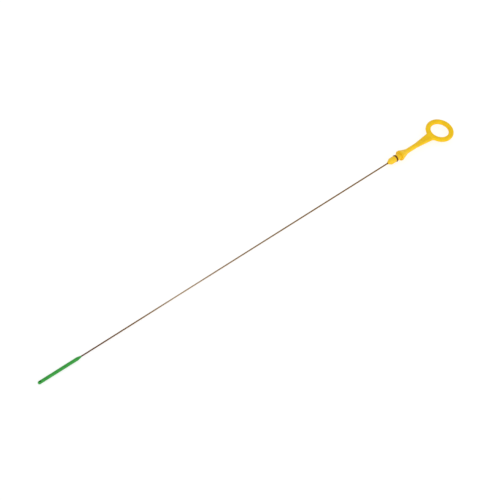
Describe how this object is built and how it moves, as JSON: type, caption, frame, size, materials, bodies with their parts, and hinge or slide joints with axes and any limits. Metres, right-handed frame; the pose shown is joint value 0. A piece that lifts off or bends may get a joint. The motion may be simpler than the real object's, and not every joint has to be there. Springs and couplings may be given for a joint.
{
  "type": "engine oil dipstick",
  "caption": "Engine oil dipstick: round finger loop, flared stem, stepped collar and sealing plug moulded on a long thin wire that ends in a round-ended gauge tip.",
  "frame": {"origin": "centre of the collar's flat seat, the face that stops the stick on the rim of its guide tube", "axes": "+X along the stick towards the finger loop, -X towards the gauge tip, +Z square to the flat of the finger loop"},
  "size_m": [0.7561, 0.0364, 0.0132],
  "materials": {
    "handle": "yellow moulded plastic, soft gloss",
    "seal": "dark brown rubber, satin",
    "wire": "drawn steel wire, brownish grey",
    "tip": "green moulded plastic, satin"
  },
  "bodies": {
    "root": {"handle": "handle", "seal_ring": "seal", "wire": "wire", "gauge_tip": "tip"}
  },
  "joints": []
}
